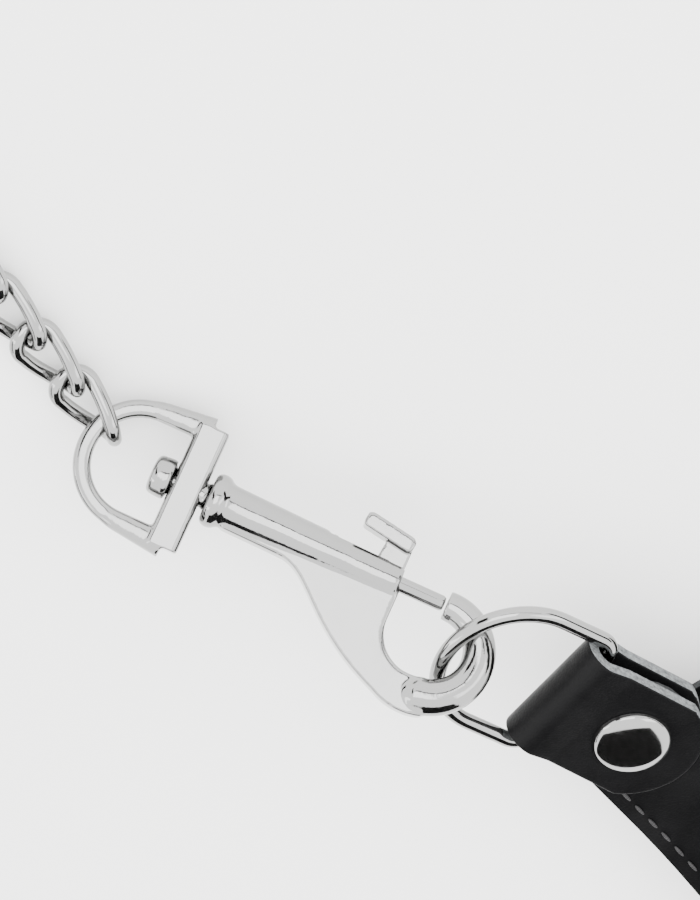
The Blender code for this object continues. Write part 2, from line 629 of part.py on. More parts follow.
def make_snap(prefix, place, parent):
    """Cast hook body with its sprung bolt; the frame's origin is where the ring's wire sits."""
    seat = snap_seat()
    hook = frame(f"{prefix}_hook_frame", place, parent)
    bolt_axis = -seat

    def local(shape):
        verts, faces = shape
        return [mirrored(v) + bolt_axis for v in verts], faces

    head = eye_bar_face() - EYE_BAR_THICK - FIT
    body_profile = [(head - SWIVEL_HEAD_LENGTH, SWIVEL_HEAD_RADIUS * 0.8),
                    (head - SWIVEL_HEAD_LENGTH * 0.85, SWIVEL_HEAD_RADIUS),
                    (head, SWIVEL_HEAD_RADIUS),
                    (head, SWIVEL_RADIUS),
                    (-COLLAR_LENGTH, SWIVEL_RADIUS),
                    (-COLLAR_LENGTH, COLLAR_RADIUS * 0.86),
                    (-COLLAR_LENGTH * 0.75, COLLAR_RADIUS),
                    (-COLLAR_LENGTH * 0.25, COLLAR_RADIUS),
                    (0.0, BARREL_REAR_RADIUS),
                    (BARREL_LENGTH, BARREL_MOUTH_RADIUS)]
    body = add_object(f"{prefix}_body", *local(turned(body_profile)), chrome(), hook)
    web = tool(f"{prefix}_web_shape", local(prism(web_outline(), -WEB_THICK / 2, WEB_THICK / 2)), hook)
    boolean(body, web, "UNION")
    bow = tool(f"{prefix}_bow_shape", local(loft(bow_rings())), hook)
    boolean(body, bow, "UNION")
    bore_end = BARREL_LENGTH - BOLT_TAIL - BOLT_TRAVEL - FIT
    bore = turned([(bore_end, BOLT_BORE_RADIUS), (BARREL_LENGTH + 0.5 * MM, BOLT_BORE_RADIUS)], 16)
    boolean(body, tool(f"{prefix}_bore", local(bore), hook), "DIFFERENCE")
    post_half = LEVER_POST_WIDTH / 2
    past = 0.5 * MM
    slot_start = BARREL_LENGTH - LEVER_POST_LENGTH - BOLT_TRAVEL - 2 * FIT
    slot = box(slot_start, BARREL_LENGTH + past, -BARREL_REAR_RADIUS - 1 * MM, 0,
               -post_half - FIT, post_half + FIT)
    boolean(body, tool(f"{prefix}_slot", local(slot), hook), "DIFFERENCE")

    slide = frame(f"{prefix}_bolt_frame", place @ Matrix.Translation(bolt_axis), hook)
    bolt_profile = [(BARREL_LENGTH - BOLT_TAIL, BOLT_RADIUS), (NOSE_X - FIT, BOLT_RADIUS)]
    add_object(f"{prefix}_bolt", *turned(bolt_profile, 12), chrome(), slide)
    make_lever(prefix, slide)
    make_spring(prefix, hook, bore_end, local)
    return hook


def make_lever(prefix, slide):
    """Thumb lever: a post through the barrel's slot with a tilted pad on it."""
    post_top = -(LEVER_HEIGHT - LEVER_PAD_THICK * 0.2)
    front = BARREL_LENGTH - 0.2 * MM
    post_half = LEVER_POST_WIDTH / 2
    post = box(front - LEVER_POST_LENGTH, front, BOLT_RADIUS + FIT, -post_top, -post_half, post_half)
    lever = add_object(f"{prefix}_thumb_lever", *post, chrome(), slide, smooth=False)
    pad = box(-LEVER_PAD_LENGTH, 0, -LEVER_PAD_THICK / 2, LEVER_PAD_THICK / 2,
              -LEVER_PAD_WIDTH / 2, LEVER_PAD_WIDTH / 2)
    pad_tool = tool(f"{prefix}_lever_pad_shape", pad, slide)
    pad_tool.location = (front, LEVER_HEIGHT - 0.4 * MM, 0)
    pad_tool.rotation_euler = (0, 0, -LEVER_TILT)
    boolean(lever, pad_tool, "UNION")
    bevel = lever.modifiers.new("soft_edges", "BEVEL")
    bevel.width = 0.35 * MM
    bevel.segments = 1


def make_spring(prefix, hook, bore_end, local):
    """Coil spring between the bore's end and the bolt."""
    start = bore_end + FIT + SPRING_WIRE / 2
    end = BARREL_LENGTH - BOLT_TAIL - FIT - SPRING_WIRE / 2
    steps = SPRING_TURNS * 8
    points = []
    for k in range(steps + 1):
        angle = 2 * pi * SPRING_TURNS * k / steps
        points.append(Vector((start + (end - start) * k / steps, SPRING_RADIUS * cos(angle),
                              SPRING_RADIUS * sin(angle))))
    radii = [SPRING_WIRE / 2] * len(points)
    coil = loft(wire_rings(points, radii, False, 5, Vector((1, 0, 0))))
    add_object(f"{prefix}_bolt_spring", *local(coil), spring_steel(), hook)


# ---- Swivel eye ------------------------------------------------------------------------------
def eye_bar_face():
    """Position along the bolt's axis of the eye bar's face that looks at the collar."""
    return -COLLAR_LENGTH - EYE_GAP


def make_eye(prefix, place, parent, spin=0.0):
    """D-shaped eye that turns on the barrel's peened post; origin on the swivel's axis."""
    swivel = frame(f"{prefix}_eye_frame", place @ Matrix.Rotation(spin, 4, "X"), parent)
    face = eye_bar_face()
    inner = face - EYE_BAR_THICK
    half = EYE_HALF_WIDTH
    bend = face - EYE_SIDE_LENGTH
    mid = half - EYE_WIRE_WIDTH / 2
    centre_line = [(inner + EYE_BAR_THICK / 2, -mid)]
    centre_line += arc((bend, 0), mid, 270, 90, 14)
    centre_line += [(inner + EYE_BAR_THICK / 2, mid)]
    rings = []
    count = len(centre_line)
    for i, (x, y) in enumerate(centre_line):
        x0, y0 = centre_line[max(i - 1, 0)]
        x1, y1 = centre_line[min(i + 1, count - 1)]
        run = Vector((x1 - x0, y1 - y0, 0)).normalized()
        out = Vector((run.y, -run.x, 0))
        rings.append(rounded_section(Vector((x, y, 0)), out, EYE_WIRE_WIDTH / 2, EYE_WIRE_DEPTH / 2))
    eye = add_object(f"{prefix}_swivel_eye", *loft(rings), chrome(), swivel)
    deep = EYE_BAR_DEPTH / 2
    edge = 0.8 * MM
    bar_section = [(face, -deep + edge), (face, deep - edge), (face - edge, deep), (inner + edge, deep),
                   (inner, deep - edge), (inner, -deep + edge), (inner + edge, -deep), (face - edge, -deep)]
    bar_rings = [[Vector((x, y, z)) for x, z in bar_section] for y in (-half, half)]
    boolean(eye, tool(f"{prefix}_eye_bar_shape", loft(bar_rings), swivel), "UNION")
    hole = turned([(inner - 1 * MM, SWIVEL_RADIUS + FIT), (face + 1 * MM, SWIVEL_RADIUS + FIT)], 16)
    boolean(eye, tool(f"{prefix}_eye_hole", hole, swivel), "DIFFERENCE")
    return swivel


def rounded_section(centre, out, half_width, half_depth):
    """Eight-sided section with chamfered corners, square to a path in the XY plane."""
    up = Vector((0, 0, 1))
    cut = 0.42
    shape = [(1, cut), (cut, 1), (-cut, 1), (-1, cut), (-1, -cut), (-cut, -1), (cut, -1), (1, -cut)]
    return [centre + out * (a * half_width) + up * (b * half_depth) for a, b in shape]


# ---- Chain -----------------------------------------------------------------------------------
def link_points():
    """Centre line of a twisted curb link about its own middle, running along X."""
    half_length = (LINK_PITCH + LINK_WIRE + LINK_PLAY) / 2
    straight = half_length - LINK_HALF_WIDTH
    flat = arc((straight, 0), LINK_HALF_WIDTH, -90, 90, 7)
    flat += [(0.0, LINK_HALF_WIDTH)]
    flat += arc((-straight, 0), LINK_HALF_WIDTH, 90, 270, 7)
    flat += [(0.0, -LINK_HALF_WIDTH)]
    points = []
    for x, y in flat:
        turn = LINK_TWIST * x / half_length
        points.append(Vector((x, y * cos(turn), y * sin(turn))))
    return points


def link_mesh():
    points = link_points()
    rings = []
    count = len(points)
    for i, point in enumerate(points):
        tangent = (points[(i + 1) % count] - points[i - 1]).normalized()
        turn = LINK_TWIST * point.x / ((LINK_PITCH + LINK_WIRE + LINK_PLAY) / 2)
        normal = Vector((0, -sin(turn), cos(turn)))
        side = tangent.cross(normal).normalized()
        top = side.cross(tangent).normalized()
        rings.append([point + (side * cos(2 * pi * k / 6 + pi / 6) + top * sin(2 * pi * k / 6 + pi / 6))
                      * (LINK_WIRE / 2) for k in range(6)])
    return loft(rings, True)


def link_headings():
    """Heading of each link: straight, then turning back through half a circle."""
    headings = []
    for k in range(LINK_COUNT):
        turned_links = min(max(k - CHAIN_STRAIGHT + 1, 0), CHAIN_TURN_LINKS)
        headings.append(CHAIN_HEADING + pi * turned_links / CHAIN_TURN_LINKS)
    return headings


def chain_height(roll=0.0):
    """Height of a link's middle when it lies on the floor, rolled this far about the chain."""
    return max(abs(p.y * sin(roll) + p.z * cos(roll)) for p in link_points()) + LINK_WIRE / 2


def make_chain(start, parent, end_height):
    """Links from the hook's eye outwards; each link's frame sits at its joint with the one before."""
    shape = link_mesh()
    point = Vector(start)
    last = parent
    for k, heading in enumerate(link_headings()):
        started = max(0, CHAIN_END_LINKS - k) / CHAIN_END_LINKS
        ended = max(0, k + 1 - (LINK_COUNT - CHAIN_END_LINKS)) / CHAIN_END_LINKS
        roll = CHAIN_START_ROLL * started + CHAIN_END_ROLL * ended
        floor = chain_height(roll) + FIT / 2
        target = floor + (end_height - floor) * ended
        slope = min(max((target - point.z) / LINK_PITCH, -CHAIN_SLOPE), CHAIN_SLOPE)
        pitch = -asin(slope)
        place = (Matrix.Translation(point) @ Matrix.Rotation(heading, 4, "Z")
                 @ Matrix.Rotation(pitch, 4, "Y") @ Matrix.Rotation(roll, 4, "X"))
        last = frame(f"link_{k + 1:02d}_frame", place, last)
        offset = Vector((LINK_PITCH / 2, 0, 0))
        verts, faces = shape
        add_object(f"link_{k + 1:02d}", [v + offset for v in verts], faces, chrome(), last)
        point = place @ Vector((LINK_PITCH, 0, 0))
    return last, point, link_headings()[-1]


# ---- Assembly --------------------------------------------------------------------------------
def snap_rotation(heading, pitch, roll):
    return (Matrix.Rotation(heading, 4, "Z") @ Matrix.Rotation(-pitch, 4, "Y")
            @ Matrix.Rotation(-roll, 4, "X"))


def ring_contact():
    """Point on the ring's centre line where the hook hangs, in the ring's frame."""
    return Vector((RING_DEPTH - RING_HALF_WIDTH + RING_HALF_WIDTH * cos(RING_CONTACT),
                   RING_HALF_WIDTH * sin(RING_CONTACT), 0))


def eye_contact(angle):
    """Point on the middle of the eye's bow wire, this far round from the bow's middle."""
    mid = EYE_HALF_WIDTH - EYE_WIRE_WIDTH / 2
    return Vector((eye_bar_face() - EYE_SIDE_LENGTH - mid * cos(angle), mid * sin(angle), 0))


def link_hang():
    """A link's frame lies this far inside the eye's wire that it hangs on."""
    return (EYE_WIRE_WIDTH + LINK_PLAY) / 2


def make_far_snap(last, end, heading):
    """Second bolt snap, lying on the floor at the end of the chain."""
    turn = snap_rotation(heading, far_pitch(), 0)
    wire = end - turn @ Vector((link_hang(), 0, 0))
    axis_place = Matrix.Translation(wire) @ turn @ Matrix.Translation(-eye_contact(0))
    joint = frame("far_eye_link_frame", Matrix.Translation(end), last)
    eye = make_eye("far", axis_place, joint, FAR_EYE_SPIN)
    make_snap("far", axis_place @ Matrix.Translation(snap_seat()), eye)


def far_pitch():
    """The free snap rests on its collar and on the side of its bow."""
    return -asin((COLLAR_RADIUS - BOW_BAR_ROOT) / (BOW_CENTRE[0] + BOW_RADIUS))


def far_eye_height():
    """Height of the free snap's axis at the far end of its eye."""
    return COLLAR_RADIUS + 2 * FIT + eye_contact(0).x * sin(far_pitch())


def main():
    clear_scene()
    root, hinge, up, cover = make_wallet()
    tab, tab_place, bar_z = make_tab(hinge, cover)
    ring, ring_place = make_ring(tab, tab_place, bar_z)
    contact = ring_place @ ring_contact()
    snap_place = Matrix.Translation(contact) @ snap_rotation(SNAP_HEADING, SNAP_PITCH, SNAP_ROLL)
    hook = make_snap("near", snap_place, ring)
    axis_place = snap_place @ Matrix.Translation(-snap_seat())
    eye = make_eye("near", axis_place, hook, NEAR_EYE_SPIN)
    wire = axis_place @ Matrix.Rotation(NEAR_EYE_SPIN, 4, "X") @ eye_contact(EYE_PULL)
    first = Vector((cos(CHAIN_HEADING), sin(CHAIN_HEADING), 0))
    last, end, heading = make_chain(wire - first * link_hang(), eye, far_eye_height())
    make_far_snap(last, end, heading)


if __name__ == "__main__":
    main()
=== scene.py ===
"""Chain wallet: the leather and the polished hardware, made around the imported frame."""
import json
from math import cos, pi, radians, sin, sqrt

import bmesh
import bpy
import numpy as np
from bpy.props import FloatProperty, FloatVectorProperty, IntProperty, PointerProperty
from mathutils import Matrix, Vector
from mathutils.bvhtree import BVHTree


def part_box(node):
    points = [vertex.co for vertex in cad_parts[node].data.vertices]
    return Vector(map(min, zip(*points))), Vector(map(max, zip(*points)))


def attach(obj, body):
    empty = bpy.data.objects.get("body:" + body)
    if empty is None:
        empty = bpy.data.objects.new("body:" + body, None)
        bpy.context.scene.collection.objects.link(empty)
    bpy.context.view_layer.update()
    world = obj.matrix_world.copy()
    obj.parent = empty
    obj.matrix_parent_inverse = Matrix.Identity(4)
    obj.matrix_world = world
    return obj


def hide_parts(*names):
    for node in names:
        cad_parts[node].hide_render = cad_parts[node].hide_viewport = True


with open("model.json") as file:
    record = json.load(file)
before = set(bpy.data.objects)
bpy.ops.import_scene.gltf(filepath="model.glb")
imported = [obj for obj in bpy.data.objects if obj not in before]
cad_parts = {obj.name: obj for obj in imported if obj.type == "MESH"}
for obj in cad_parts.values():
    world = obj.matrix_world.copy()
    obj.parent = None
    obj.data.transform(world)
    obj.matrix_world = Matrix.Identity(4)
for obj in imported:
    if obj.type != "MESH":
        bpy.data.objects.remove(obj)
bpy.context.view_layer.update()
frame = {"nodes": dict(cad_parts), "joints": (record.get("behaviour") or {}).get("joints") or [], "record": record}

bl_info = {
    "name": "Chain Wallet",
    "version": (1, 0, 0),
    "blender": (4, 5, 0),
    "location": "View3D > Sidebar > Chain Wallet",
    "description": "Builds a leather chain wallet with its snaps, ring and chain",
    "category": "Object",
}

MM = 0.001
JOINTS = {joint["name"]: joint for joint in frame["joints"]}
BODY_OF = {node: body for body, nodes in frame["record"]["behaviour"]["bodies"].items() for node in nodes}
LINKS = sorted(name for name in frame["nodes"] if name.startswith("link_"))


# ---- Sizes that a user would change -----------------------------------------------------------
class WalletLeather(bpy.types.PropertyGroup):
    colour: FloatVectorProperty(name="Leather", description="Colour of the dyed face", subtype="COLOR",
                                size=3, default=(0.0030, 0.0030, 0.0032))
    cut_colour: FloatVectorProperty(name="Cut edge", description="Colour of the raw fibres at a cut edge",
                                    subtype="COLOR", size=3, default=(0.120, 0.127, 0.130))
    edge_round: FloatProperty(name="Edge rounding", description="Radius worn on a panel's edge",
                              default=0.00035, unit="LENGTH")
    stitch_pitch: FloatProperty(name="Stitch pitch", description="From one stitch to the next",
                                default=0.0040, unit="LENGTH")
    stitch_inset: FloatProperty(name="Stitch inset", description="From the cover's edge to the seam",
                                default=0.0027, unit="LENGTH")


class WalletHardware(bpy.types.PropertyGroup):
    colour: FloatVectorProperty(name="Plating", description="Colour of the nickel plate", subtype="COLOR",
                                size=3, default=(0.27, 0.27, 0.267))
    cast_voxel: FloatProperty(name="Casting detail", description="Size of the smallest cast feature",
                              default=0.00024, unit="LENGTH")
    wire_sides: IntProperty(name="Wire sides", description="Facets round a wire", default=20, min=6)


# ---- Small helpers ----------------------------------------------------------------------------
def vector(values):
    return Vector(tuple(values))


def place_from(origin, x_axis, y_axis):
    """Matrix with its X and Y axes as given, Y made square to X."""
    x = x_axis.normalized()
    y = (y_axis - x * y_axis.dot(x)).normalized()
    z = x.cross(y)
    matrix = Matrix.Identity(4)
    for row in range(3):
        matrix[row][0] = x[row]
        matrix[row][1] = y[row]
        matrix[row][2] = z[row]
        matrix[row][3] = origin[row]
    return matrix


def middle(node):
    points = [v.co for v in frame["nodes"][node].data.vertices]
    return sum(points, Vector()) / len(points)


def new_object(name, verts, faces, place=None, scale=MM):
    """Closed mesh from points in millimetres in a piece's own frame, put into world space."""
    place = place or Matrix.Identity(4)
    mesh = bpy.data.meshes.new(name)
    mesh.from_pydata([tuple(place @ (Vector(v) * scale)) for v in verts], [], faces)
    mesh.validate()
    build = bmesh.new()
    build.from_mesh(mesh)
    bmesh.ops.recalc_face_normals(build, faces=build.faces)
    build.to_mesh(mesh)
    build.free()
    obj = bpy.data.objects.new(name, mesh)
    bpy.context.scene.collection.objects.link(obj)
    return obj


def loft(rings, closed_path=False):
    """Vertices and faces of a tube through rings of equal size, capped unless its path is closed."""
    size = len(rings[0])
    verts = [point for ring in rings for point in ring]
    spans = len(rings) if closed_path else len(rings) - 1
    faces = []
    for i in range(spans):
        a = i * size
        b = ((i + 1) % len(rings)) * size
        for k in range(size):
            m = (k + 1) % size
            faces.append((a + k, a + m, b + m, b + k))
    if not closed_path:
        faces.append(tuple(range(size)))
        faces.append(tuple(range(len(verts) - size, len(verts))))
    return verts, faces


def turned(profile, steps=48, axis="X"):
    """Solid of revolution; profile is a list of (position along the axis, radius)."""
    rings = []
    for along, radius in profile:
        angles = [2 * pi * k / steps for k in range(steps)]
        if axis == "X":
            rings.append([Vector((along, radius * cos(a), radius * sin(a))) for a in angles])
        else:
            rings.append([Vector((radius * cos(a), radius * sin(a), along)) for a in angles])
    return loft(rings)


def arc(centre, radius, start, end, steps):
    """Points on an arc, angles in degrees, both ends included."""
    angles = [radians(start + (end - start) * k / steps) for k in range(steps + 1)]
    return [(centre[0] + radius * cos(a), centre[1] + radius * sin(a)) for a in angles]


def prism(outline, low, high):
    return loft([[Vector((x, y, low)) for x, y in outline], [Vector((x, y, high)) for x, y in outline]])


def wire(points, radius, sides, closed, normals):
    """Round wire along points; normals gives a direction square to the path at each point."""
    count = len(points)
    rings = []
    for i, point in enumerate(points):
        before = points[i - 1] if (i or closed) else point
        after = points[(i + 1) % count] if (i < count - 1 or closed) else point
        tangent = (after - before).normalized()
        side = tangent.cross(normals[i]).normalized()
        top = side.cross(tangent).normalized()
        rings.append([point + (side * cos(2 * pi * k / sides) + top * sin(2 * pi * k / sides)) * radius
                      for k in range(sides)])
    return loft(rings, closed)


def apply_modifiers(obj):
    """Bake an object's modifiers into its mesh."""
    graph = bpy.context.evaluated_depsgraph_get()
    mesh = bpy.data.meshes.new_from_object(obj.evaluated_get(graph))
    obj.modifiers.clear()
    old = obj.data
    obj.data = mesh
    bpy.data.meshes.remove(old)


def smooth(obj, angle=35):
    obj.data.shade_smooth()
    obj.data.set_sharp_from_angle(angle=radians(angle))


def join_shapes(name, shapes, place):
    """Several closed shapes as one mesh, ready to be fused."""
    verts, faces = [], []
    for shape_verts, shape_faces in shapes:
        start = len(verts)
        verts += shape_verts
        faces += [tuple(start + k for k in face) for face in shape_faces]
    return new_object(name, verts, faces, place)


def cast(name, solids, cuts, place, voxel, smoothing):
    """Fuse solids and soften the joins, as a polished casting has them."""
    obj = join_shapes(name, solids, Matrix.Identity(4))
    for number, cut in enumerate(cuts):
        cutter = new_object(f"{name}_cut_{number}", *cut)
        fuse(obj, voxel)
        modifier = obj.modifiers.new("cut", "BOOLEAN")
        modifier.operation = "DIFFERENCE"
        modifier.object = cutter
        apply_modifiers(obj)
        bpy.data.objects.remove(cutter)
    fuse(obj, voxel)
    modifier = obj.modifiers.new("soften", "SMOOTH")
    modifier.factor = 0.5
    modifier.iterations = smoothing
    apply_modifiers(obj)
    obj.data.transform(place)
    obj.data.shade_smooth()
    return obj


def fuse(obj, voxel):
    modifier = obj.modifiers.new("fuse", "REMESH")
    modifier.mode = "VOXEL"
    modifier.voxel_size = voxel
    apply_modifiers(obj)


def finish_piece(obj, material, node):
    """Give a piece its material and put it in the place of its CAD node."""
    if material:
        obj.data.materials.clear()
        obj.data.materials.append(material)
    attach(obj, BODY_OF[node])
    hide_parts(node)


def softened(node, name, width):
    """Copy of a flat CAD panel with its edges rounded."""
    mesh = frame["nodes"][node].data.copy()
    build = bmesh.new()
    build.from_mesh(mesh)
    bmesh.ops.remove_doubles(build, verts=build.verts, dist=1e-6)
    bmesh.ops.recalc_face_normals(build, faces=build.faces)
    bmesh.ops.dissolve_limit(build, angle_limit=radians(1), verts=build.verts, edges=build.edges)
    build.to_mesh(mesh)
    build.free()
    obj = bpy.data.objects.new(name, mesh)
    bpy.context.scene.collection.objects.link(obj)
    modifier = obj.modifiers.new("edge", "BEVEL")
    modifier.width = width
    modifier.segments = 3
    modifier.limit_method = "ANGLE"
    modifier.angle_limit = radians(50)
    apply_modifiers(obj)
    smooth(obj, 30)
    return obj


# ---- Materials --------------------------------------------------------------------------------
def linear(hex_value):
    """sRGB hex colour as linear RGBA."""
    parts = [int(hex_value[k:k + 2], 16) / 255 for k in (1, 3, 5)]
    return tuple(p / 12.92 if p <= 0.04045 else ((p + 0.055) / 1.055) ** 2.4 for p in parts) + (1.0,)


def add_node(tree, kind, settings=None, values=None, links=None):
    """Node with its settings, input values and links {input: (node, output)}."""
    node = tree.nodes.new(kind)
    for key, value in (settings or {}).items():
        setattr(node, key, value)
    for key, value in (values or {}).items():
        node.inputs[key].default_value = value
    for key, (source, output) in (links or {}).items():
        tree.links.new(source.outputs[output], node.inputs[key])
    return node


def start_material(name, values):
    material = bpy.data.materials.new(name)
    material.use_nodes = True
    tree = material.node_tree
    shader = tree.nodes["Principled BSDF"]
    for key, value in values.items():
        shader.inputs[key].default_value = value
    coords = add_node(tree, "ShaderNodeTexCoord")
    return material, tree, shader, coords


def per_metre(size_mm):
    """Pattern scale for features of this size."""
    return 1.0 / (size_mm * MM)


def plated_metal(name, colour, pit_depth, wave_depth):
    """Nickel plate, mirror-bright, with the faint waves and pits of the metal under it.

    Its colour is darker than real nickel, because the stage's sky is far brighter than a room.
    """
    material, tree, shader, coords = start_material(name, {
        "Base Color": (*colour, 1.0), "Metallic": 1.0, "Roughness": 0.07})
    haze = add_node(tree, "ShaderNodeTexNoise", values={"Scale": per_metre(3.0), "Detail": 4.0},
                    links={"Vector": (coords, "Object")})
    rough = add_node(tree, "ShaderNodeMapRange",
                     values={"From Min": 0.3, "From Max": 0.7, "To Min": 0.035, "To Max": 0.13},
                     links={"Value": (haze, "Fac")})
    tree.links.new(rough.outputs["Result"], shader.inputs["Roughness"])
    pits = add_node(tree, "ShaderNodeTexNoise", values={"Scale": per_metre(0.45), "Detail": 3.0},
                    links={"Vector": (coords, "Object")})
    waves = add_node(tree, "ShaderNodeTexNoise", values={"Scale": per_metre(2.6), "Detail": 2.0},
                     links={"Vector": (coords, "Object")})
    low = add_node(tree, "ShaderNodeBump", values={"Strength": wave_depth, "Distance": 0.10 * MM},
                   links={"Height": (waves, "Fac")})
    high = add_node(tree, "ShaderNodeBump", values={"Strength": pit_depth, "Distance": 0.03 * MM},
                    links={"Height": (pits, "Fac"), "Normal": (low, "Normal")})
    tree.links.new(high.outputs["Normal"], shader.inputs["Normal"])
    return material


def dyed_leather(name, colour, grain_mm, roughness, crease):
    """Aniline-black top grain: tight pores with broad soft gloss and slow changes in polish."""
    material, tree, shader, coords = start_material(name, {
        "Base Color": (*colour, 1.0), "Roughness": roughness, "IOR": 1.5, "Specular IOR Level": 0.06,
        "Coat Weight": 0.02, "Coat Roughness": 0.25})
    polish = add_node(tree, "ShaderNodeTexNoise", values={"Scale": per_metre(9.0), "Detail": 5.0},
                      links={"Vector": (coords, "Object")})
    rough = add_node(tree, "ShaderNodeMapRange",
                     values={"From Min": 0.3, "From Max": 0.7,
                             "To Min": roughness - 0.08, "To Max": roughness + 0.10},
                     links={"Value": (polish, "Fac")})
    tree.links.new(rough.outputs["Result"], shader.inputs["Roughness"])
    tone = add_node(tree, "ShaderNodeValToRGB", links={"Fac": (polish, "Fac")})
    tone.color_ramp.elements[0].color = (*[c * 0.7 for c in colour], 1.0)
    tone.color_ramp.elements[1].color = (*[c * 1.5 for c in colour], 1.0)
    tree.links.new(tone.outputs["Color"], shader.inputs["Base Color"])
    pores = add_node(tree, "ShaderNodeTexVoronoi", {"feature": "DISTANCE_TO_EDGE"},
                     {"Scale": per_metre(grain_mm), "Randomness": 1.0}, {"Vector": (coords, "Object")})
    cells = add_node(tree, "ShaderNodeMapRange", values={"From Max": 0.22},
                     links={"Value": (pores, "Distance")})
    folds = add_node(tree, "ShaderNodeTexNoise",
                     values={"Scale": per_metre(4.0), "Detail": 6.0, "Roughness": 0.6},
                     links={"Vector": (coords, "Object")})
    broad = add_node(tree, "ShaderNodeBump", values={"Strength": crease, "Distance": 0.30 * MM},
                     links={"Height": (folds, "Fac")})
    fine = add_node(tree, "ShaderNodeBump", values={"Strength": 0.35, "Distance": 0.05 * MM},
                    links={"Height": (cells, "Result"), "Normal": (broad, "Normal")})
    tree.links.new(fine.outputs["Normal"], shader.inputs["Normal"])
    return material


def cut_leather(name, colour):
    """Raw cut edge of thick hide: grey dye-stained fibres, matt and felted."""
    material, tree, shader, coords = start_material(name, {"Roughness": 0.9, "IOR": 1.4})
    fibres = add_node(tree, "ShaderNodeTexNoise",
                      values={"Scale": per_metre(0.7), "Detail": 8.0, "Roughness": 0.75},
                      links={"Vector": (coords, "Object")})
    tone = add_node(tree, "ShaderNodeValToRGB", links={"Fac": (fibres, "Fac")})
    tone.color_ramp.elements[0].position = 0.35
    tone.color_ramp.elements[0].color = (*[c * 0.35 for c in colour], 1.0)
    tone.color_ramp.elements[1].position = 0.65
    tone.color_ramp.elements[1].color = (*[c * 1.6 for c in colour], 1.0)
    tree.links.new(tone.outputs["Color"], shader.inputs["Base Color"])
    bump = add_node(tree, "ShaderNodeBump", values={"Strength": 0.8, "Distance": 0.25 * MM},
                    links={"Height": (fibres, "Fac")})
    tree.links.new(bump.outputs["Normal"], shader.inputs["Normal"])
    return material


def waxed_thread(name):
    """Waxed polyester thread, black with a low sheen from its twist."""
    material, tree, shader, coords = start_material(name, {"Roughness": 0.5, "Base Color": linear("#161617")})
    twist = add_node(tree, "ShaderNodeTexWave", values={"Scale": per_metre(1.6), "Distortion": 1.0},
                     links={"Vector": (coords, "Object")})
    bump = add_node(tree, "ShaderNodeBump", values={"Strength": 0.5, "Distance": 0.08 * MM},
                    links={"Height": (twist, "Fac")})
    tree.links.new(bump.outputs["Normal"], shader.inputs["Normal"])
    return material


MATERIALS = {}


def make_materials(leather, hardware):
    face = tuple(leather.colour)
    cut = tuple(leather.cut_colour)
    plate = tuple(hardware.colour)
    MATERIALS["cover"] = dyed_leather("top_grain_black", face, 0.75, 0.40, 0.22)
    MATERIALS["tab"] = dyed_leather("bridle_leather_black", face, 0.60, 0.34, 0.30)
    MATERIALS["lining"] = dyed_leather("thin_split_black", tuple(c * 1.4 for c in face), 0.5, 0.62, 0.15)
    MATERIALS["cut"] = cut_leather("raw_hide_edge", cut)
    MATERIALS["dark_cut"] = cut_leather("dyed_hide_edge", tuple(c * 0.25 for c in cut))
    MATERIALS["cast"] = plated_metal("nickel_on_zinc_casting", plate, 0.35, 0.28)
    MATERIALS["drawn"] = plated_metal("nickel_on_drawn_wire", plate, 0.10, 0.14)
    MATERIALS["pressed"] = plated_metal("nickel_on_pressed_cap", plate, 0.04, 0.06)
    MATERIALS["spring"] = plated_metal("spring_wire_steel", tuple(c * 0.7 for c in plate), 0.2, 0.1)
    MATERIALS["thread"] = waxed_thread("waxed_thread_black")


# ---- Places taken from the frame --------------------------------------------------------------
def tab_place():
    """Origin on the rivet's axis at the top of the ear, X towards the ring's bar, Z out of the leather."""
    joint = JOINTS["tab_turn"]
    origin = vector(joint["pos_m"])
    up = vector(joint["axis"])
    along = vector(JOINTS["ring_swing"]["pos_m"]) - origin
    along = (along - up * along.dot(up)).normalized()
    return place_from(origin, along, up.cross(along))


def ring_place():
    joint = JOINTS["ring_swing"]
    origin = vector(joint["pos_m"])
    y_axis = -vector(joint["axis"])
    away = vector(JOINTS["near_hook_swing"]["pos_m"]) - origin
    x_axis = away - y_axis * away.dot(y_axis)
    return place_from(origin, x_axis, y_axis)


def snap_place(side):
    """Origin at the front of the barrel's collar, X along the bolt, Y towards the thumb lever."""
    joint = JOINTS["near_eye_turn" if side == "near" else "far_hook_turn"]
    origin = vector(joint["pos_m"])
    x_axis = vector(joint["axis"])
    return place_from(origin, x_axis, middle(f"{side}_thumb_lever") - origin)


def eye_place(side):
    joint = JOINTS["near_eye_turn" if side == "near" else "far_hook_turn"]
    origin = vector(joint["pos_m"])
    x_axis = vector(joint["axis"])
    points = np.array([tuple(v.co) for v in frame["nodes"][f"{side}_swivel_eye"].data.vertices])
    across = points - points.mean(0)
    across = across - np.outer(across @ np.array(x_axis), np.array(x_axis))
    widest = np.linalg.svd(across, full_matrices=False)[2][0]
    return place_from(origin, x_axis, Vector(widest))


